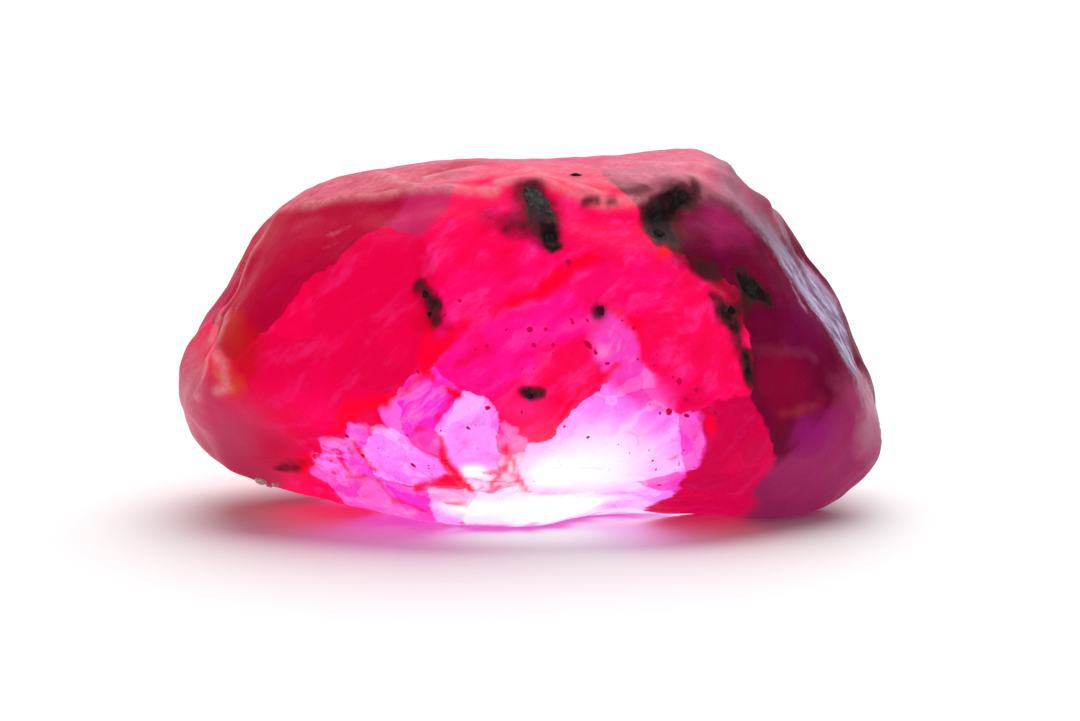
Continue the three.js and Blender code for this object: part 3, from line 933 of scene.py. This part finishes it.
# %% Shards and hairline fractures inside the blocks
tone = sums("MULTIPLY_ADD", cloud(shards(ragged, 0.62)["Position"], 3.0, 0.0), 0.24, 0.88)
clear_kind = ramped(blocks["Lit"], 0.97, 1.03)
facet = times(ramped(tone, 0.96, 1.06), times(clear_kind, 0.35))
inside = blended(facet, inside, shown(255, 214, 255))
inside = blended(1.0, inside, tone, "MULTIPLY")
patchy = cloud(place, 0.8, 2.0)
hairline = shards(ragged, 0.62, "DISTANCE_TO_EDGE")["Distance"]
hairline = ramped(hairline, 0.0, 0.05, 1.0, 0.0)
hairline = times(hairline, ramped(patchy, 0.5, 0.62))
hairline = times(hairline, ramped(blocks["Lit"], 0.8, 0.92))

# %% [markdown]
# The lit heart shows slanting streaks of pink and red, because its fractures lie on the crystal's
# slanting planes. Noise has no direction of its own. Measured along and across the slant, with
# the distance along it shortened, it turns into streaks.

# %% Slanting streaks of tiny fractures, and dust in the clear blocks
along_slant = vector_sums("DOT_PRODUCT", place, (0.33, 0.04, 0.27))
across_slant = vector_sums("DOT_PRODUCT", ragged, (-0.80, 0.13, 0.98))
slanted = joined(along_slant, across_slant, split["Y"])
fractures = cloud(slanted, 1.1, 4.0, roughness=0.62)
streaky = ramped(blocks["Lit"], 0.90, 0.975, 0.08, 1.0)
pale_tint = blended(clear_kind, shown(255, 62, 172), shown(255, 206, 255))
pale_mask = times(ramped(fractures, 0.48, 0.74, 0.0, 0.50), streaky)
inside = blended(pale_mask, inside, pale_tint)
deep_tint = blended(clear_kind, shown(240, 0, 50), shown(242, 74, 216))
deep_mask = times(ramped(fractures, 0.49, 0.28, 0.0, 0.62), streaky)
inside = blended(deep_mask, inside, deep_tint)
dust = ramped(cloud(place, 5.0, 3.0, roughness=0.7), 0.58, 0.74, 0.0, 0.5)
inside = blended(times(dust, clear_kind), inside, shown(212, 74, 204))
# Painted glare of the lamp turns the clear blocks white near it.
lamp_glare = times(mark_of("lamp_glare"), sums("MAXIMUM", clear_kind, 0.15))
inside = blended(lamp_glare, inside, (1.0, 1.0, 1.0, 1.0))

# %% Red veins where blocks meet, mostly left of the lamp
vein_width = ramped(patchy, 0.35, 0.7, 0.08, 0.42)
vein = ramped(blocks["Gap"], 0.0, vein_width, 1.0, 0.0)
vein = times(vein, ramped(blocks["Lit"], 0.94, 0.99))
vein = times(vein, ramped(patchy, 0.38, 0.60))
vein = times(vein, ramped(split["X"], -1.2, 0.2, 0.75, 0.08))
veins = sums("MAXIMUM", vein, times(hairline, 0.22))
inside = blended(veins, inside, shown(248, 2, 76))

# %% Coats of the skin
colour = inside
glow = blocks["Lit"]
mottle = placed(worn_skin, place=place, scratches=0.6, pits=0.5)
speckle = ramped(mottle["Mottle"], 0.36, 0.66)


def coat(mask, tint, holds_back):
    """Lays a tint over the colour so far, and dims the glow under it."""
    global colour, glow
    colour = blended(mask, colour, tint)
    glow = blended_value(mask, glow, 1.0 - holds_back)


def lay_layer(name, mask=1.0):
    """Lays a kept layer over the colour so far, as far as the mask lets it."""
    global colour, glow
    bare = sums("SUBTRACT", 1.0, times(mark_of(name + "_cover"), mask))
    tint = scaled(mark_of(name + "_tint", "Vector"), mask)
    colour = vector_sums("ADD", scaled(colour, bare), tint)
    added_glow = times(mark_of(name + "_glow"), mask)
    glow = sums("MULTIPLY_ADD", glow, bare, added_glow)


lay_layer("stain")
lay_layer("frost_and_sheen", blended_value(speckle, 0.55, 1.0))

# %% The stepped band: lilac-grey streaks that run down the shoulder, a painted reflection of the pale surroundings and painted shade of the growth steps
down_slope = vector_sums("DOT_PRODUCT", place, (0.248, 0.0, -0.374))
along_band = joined(down_slope, times(split["Y"], 1.6))
streaks = cloud(along_band, 1.5, 5.0, roughness=0.62)
here_height = split["Z"]
band_edge = sums("MULTIPLY_ADD", mottle["Mottle"], 0.9, -0.45)
painted_band_sheen = ramped(sums("ADD", mark_of("band"), band_edge), 0.18, 0.85)
painted_band_sheen = times(painted_band_sheen, ramped(here_height, 10.2, 12.6, 0.95, 0.80))
band_sheen_tint = blended(ramped(streaks, 0.36, 0.64), shown(122, 98, 130), shown(194, 190, 222))
band_sheen_tint = blended(ramped(here_height, 9.6, 11.2), band_sheen_tint, shown(140, 126, 142))
band_sheen_tint = blended(ramped(here_height, 11.6, 13.0), band_sheen_tint, shown(162, 114, 132))
band_sheen_tint = blended(ramped(split["X"], 12.7, 13.4), band_sheen_tint, shown(176, 122, 142))
band_sheen_tint = blended(ramped(split["Y"], 0.4, 2.2, 0.0, 0.8), band_sheen_tint, shown(168, 108, 132))
coat(painted_band_sheen, band_sheen_tint, 0.90)
lay_layer("mark")

# %% [markdown]
# The smoke mark holds how much dust lies at each point. A little dust only darkens the red. More
# of it turns the colour to brown-grey, and the thickest is nearly black and lets nothing through.

# %% Smoke, and the shattered foot
smoke = times(mark_of("smoke"), sums("MULTIPLY_ADD", mottle["Mottle"], 1.1, 0.45))
coat(ramped(smoke, 0.04, 0.66, 0.0, 0.84), shown(84, 10, 30), 0.45)
coat(ramped(smoke, 0.40, 0.86, 0.0, 0.92), shown(46, 32, 34), 0.88)
coat(ramped(smoke, 0.68, 1.00), shown(18, 13, 14), 1.0)
broken_foot = mark_of("broken_foot")
shatter = cloud(ragged, 2.6, 3.0, roughness=0.6)
coat(times(broken_foot, ramped(shatter, 0.55, 0.62, 0.0, 0.8)), shown(244, 4, 84), 0.05)
coat(times(broken_foot, ramped(shatter, 0.50, 0.42, 0.0, 0.8)), shown(250, 128, 252), 0.0)
print("nodes in the ruby's finish:", len(tree.nodes))

# %% Join the finish to the shader
SCATTER = 1.15  # how much of the colour a place without glow scatters
# The emission is painted light: the glow of a lamp under the foot, which the scene doesn't hold.
glowing = blended(1.0, colour, glow, "MULTIPLY")
fill(ruby.inputs["Emission Color"], glowing)
held_back = kept_within(sums("SUBTRACT", 1.0, glow))
scatter = blended(1.0, colour, sums("MULTIPLY_ADD", held_back, SCATTER, 0.03), "MULTIPLY")
fill(ruby.inputs["Base Color"], scatter)
fill(ruby.inputs["Roughness"], blended_value(mottle["Mottle"], 0.28, 0.52))
fill(ruby.inputs["Coat Weight"], ramped(glow, 0.25, 0.75, 0.12, 0.0))
set_sockets(ruby, IOR=1.77, Transmission_Weight=0.1, Emission_Strength=1.0, Coat_Roughness=0.35)
set_sockets(ruby, Specular_IOR_Level=0.008, Specular_Tint=(1.0, 0.22, 0.34, 1.0))
fill(ruby.inputs["Normal"], bumped(mottle["Height"], 0.5, 0.03 * MM))
absorbs = node("VolumeAbsorption", (("Color", (0.85, 0.02, 0.12, 1)), ("Density", 150)))
fill(tree.nodes["Material Output"].inputs["Volume"], absorbs["Volume"])
ruby_finish.cycles.emission_sampling = "NONE"
ruby_finish.use_transparent_shadow = False
skin.materials.append(ruby_finish)


# %% [markdown]
# ## Mineral grains, specks and crumbs
#
# The dark spots are grains of another mineral that the ruby grew around. Painting them would
# leave them flat, so each is a small rough lump, sunk in its own pit. A ball of triangles pushed
# by noise, with a few flat faces pressed on it, reads as a mineral grain. Its depth is only a
# third of its width, so that it lies along the skin.


# %% One rough grain
FLAT_FACES = 16
THICKNESS = 0.34  # a grain's depth for its width


def skin_at(middle):
    """The skin's point nearest to a place and its outward direction there, in millimetres."""
    nearest = np.argmin(np.linalg.norm(points - np.array(middle), axis=1))
    return points[nearest], normals[nearest] / np.linalg.norm(normals[nearest])


def add_lump(work, middle, width, tall, lean, seed, fineness, proud=0.08):
    """Adds a rough lens to a bmesh, sunk into the skin near a point, in millimetres."""
    foot, outward = skin_at(middle)
    sideways = np.cross((0.0, 0.0, 1.0), outward)
    sideways /= np.linalg.norm(sideways) + 1e-9
    upward = np.cross(outward, sideways)
    turn = math.radians(lean)
    across_axis = sideways * math.cos(turn) + upward * math.sin(turn)
    tall_axis = upward * math.cos(turn) - sideways * math.sin(turn)
    random = np.random.default_rng(seed)
    faces = random.normal(size=(FLAT_FACES, 3))
    faces /= np.linalg.norm(faces, axis=1)[:, None]
    depths = random.uniform(0.70, 1.0, FLAT_FACES)
    made = bmesh.ops.create_icosphere(work, subdivisions=fineness, radius=1.0)
    for vertex in made["verts"]:
        direction = np.array(vertex.co.normalized())
        reach = min(1.0, float(np.min(depths / np.maximum(faces @ direction, 1e-3))))
        reach += noise.noise(Vector(direction * 2.6) + Vector((seed, 0, 0))) * 0.24
        reach += noise.noise(Vector(direction * 7.5) + Vector((0, seed, 0))) * 0.09
        across, high_up, out = direction * reach * width / 2
        spread = across_axis * across + tall_axis * high_up * tall
        spread = spread + outward * (out * THICKNESS - proud * width)
        vertex.co = Vector((foot + spread) * MM)


def finished_piece(name, work, material):
    """Turns a bmesh into a smooth-shaded object with one material."""
    lump = bpy.data.meshes.new(name)
    work.to_mesh(lump)
    work.free()
    lump.polygons.foreach_set("use_smooth", np.ones(len(lump.polygons), bool))
    lump.materials.append(material)
    return new_object(name, lump)


# %% Finishes of the grains, specks and crumbs
def mineral_finish(name, dark, light, gloss, roughness=(0.6, 0.9), glow=0.0):
    """A rough mineral: two mottled tones, pitted by the same Worn skin as the ruby, and a glow above 0 paints
    light from within as emission.
    """
    global tree
    material, shader = new_material(name)
    tree = material.node_tree
    spot_here = scaled(node("TexCoord")["Object"], 1 / MM)
    worn = placed(worn_skin, place=spot_here, scratches=0.2, pits=1.0)
    tone = ramped(worn["Mottle"], 0.40, 0.65)
    tint = blended(tone, shown(*dark), shown(*light))
    fill(shader.inputs["Base Color"], tint)
    fill(shader.inputs["Emission Color"], tint)
    fill(shader.inputs["Roughness"], blended_value(worn["Mottle"], *roughness))
    set_sockets(shader, Specular_IOR_Level=gloss, Emission_Strength=glow)
    fill(shader.inputs["Normal"], bumped(worn["Height"], 0.4, 0.04 * MM))
    return material


dark_mineral = mineral_finish("dark_mineral", (24, 18, 19), (50, 42, 42), 0.06)
grey_mineral = mineral_finish("grey_mineral", (50, 44, 45), (86, 82, 79), 0.10)
plum_mineral = mineral_finish("plum_mineral", (66, 6, 38), (104, 12, 60), 0.03)
# The red specks glow a little: painted light of the lamp under the foot, as emission.
red_speck = mineral_finish("red_speck", (176, 0, 58), (206, 8, 84), 0.02, glow=0.45)
pale_crumb = mineral_finish("pale_crumb", (196, 160, 150), (246, 232, 222), 0.50, (0.25, 0.5))

lumps = []
for number, (name, (middle, width, tall, _, lean)) in enumerate(GRAINS.items()):
    work = bmesh.new()
    add_lump(work, middle, width, tall, lean, number + 5, 5)
    material = {"brow_lens": grey_mineral, "round_grain": plum_mineral}.get(name, dark_mineral)
    lumps.append(finished_piece(name, work, material))
print("mineral grains:", len(lumps))

# %% [markdown]
# Between the big grains the lit heart holds a scatter of dark red specks, each a third of a
# millimetre or less. They are small lenses of the same make, joined in one piece. Three pale crumbs
# of another crystal cling to the foot of the nose.

# %% Specks and crumbs
# Each speck: its middle, its width, how tall it is for its width, and its lean.
SPECKS = [
    ((0.0, -9.2, 8.5), 0.28, 0.9, 0), ((0.6, -9.2, 8.5), 0.18, 1.0, 0), ((0.2, -9.3, 8.0), 0.20, 1.0, 0),
    ((0.9, -9.2, 8.0), 0.18, 1.0, 20), ((1.7, -9.1, 8.8), 0.16, 2.4, 25), ((2.3, -9.0, 8.9), 0.12, 1.8, 20),
    ((2.3, -9.1, 8.0), 0.20, 2.2, 40), ((2.6, -9.1, 7.7), 0.16, 1.6, 30), ((3.0, -9.2, 7.2), 0.22, 0.7, 0),
    ((5.7, -8.7, 6.5), 0.25, 1.4, 10), ((6.4, -8.5, 6.1), 0.22, 1.0, 0), ((6.1, -8.7, 5.8), 0.25, 0.9, -20),
    ((5.4, -9.1, 5.4), 0.32, 0.9, 30), ((6.1, -8.8, 5.1), 0.29, 0.7, -20), ((7.2, -8.3, 5.2), 0.25, 0.8, -40),
    ((-1.5, -9.7, 5.6), 0.25, 0.8, 20), ((-1.6, -9.4, 7.9), 0.18, 1.0, 0), ((1.5, -8.7, 11.0), 0.25, 1.4, 20),
    ((-2.6, -9.0, 9.6), 0.20, 1.0, 0), ((-4.5, -8.4, 3.0), 0.20, 1.6, 20), ((-6.9, -7.6, 4.3), 0.28, 1.0, 0),
    ((-6.3, -7.2, 3.3), 0.25, 1.0, 30), ((-2.2, -9.7, 4.9), 0.22, 0.5, -30), ((5.0, -7.2, 2.1), 0.18, 1.2, 0),
]
SCATTERED_SPECKS = 70
SPECK_SEED = 12
random = np.random.default_rng(SPECK_SEED)
for _ in range(SCATTERED_SPECKS):
    side = -1 if random.random() < 0.7 else 1
    middle = (random.uniform(-6.5, 6.5), side * 9.0, random.uniform(1.6, 9.5))
    SPECKS.append((middle, random.uniform(0.05, 0.11), random.uniform(0.8, 1.8), random.uniform(-50, 50)))
work = bmesh.new()
for number, (middle, width, tall, lean) in enumerate(SPECKS):
    add_lump(work, middle, width, tall, lean, number + 50, 3, proud=0.06)
specks = finished_piece("specks", work, red_speck)
work = bmesh.new()
CRUMBS = [((-10.5, -2.5, 1.7), 0.55), ((-9.9, -2.8, 1.5), 0.40), ((-10.2, -2.2, 1.5), 0.3)]
for number, (middle, width) in enumerate(CRUMBS):
    add_lump(work, middle, width, 0.8, 0, number + 200, 4, proud=-0.10)
crumbs = finished_piece("crumbs", work, pale_crumb)
print("specks:", len(SPECKS), "and their triangles:", len(specks.data.polygons))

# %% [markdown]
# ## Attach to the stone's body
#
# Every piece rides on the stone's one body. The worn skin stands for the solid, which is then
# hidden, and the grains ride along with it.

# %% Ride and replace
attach(stone, "root")
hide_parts("ruby_crystal")
for piece in lumps + [specks, crumbs]:
    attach(piece, "root")
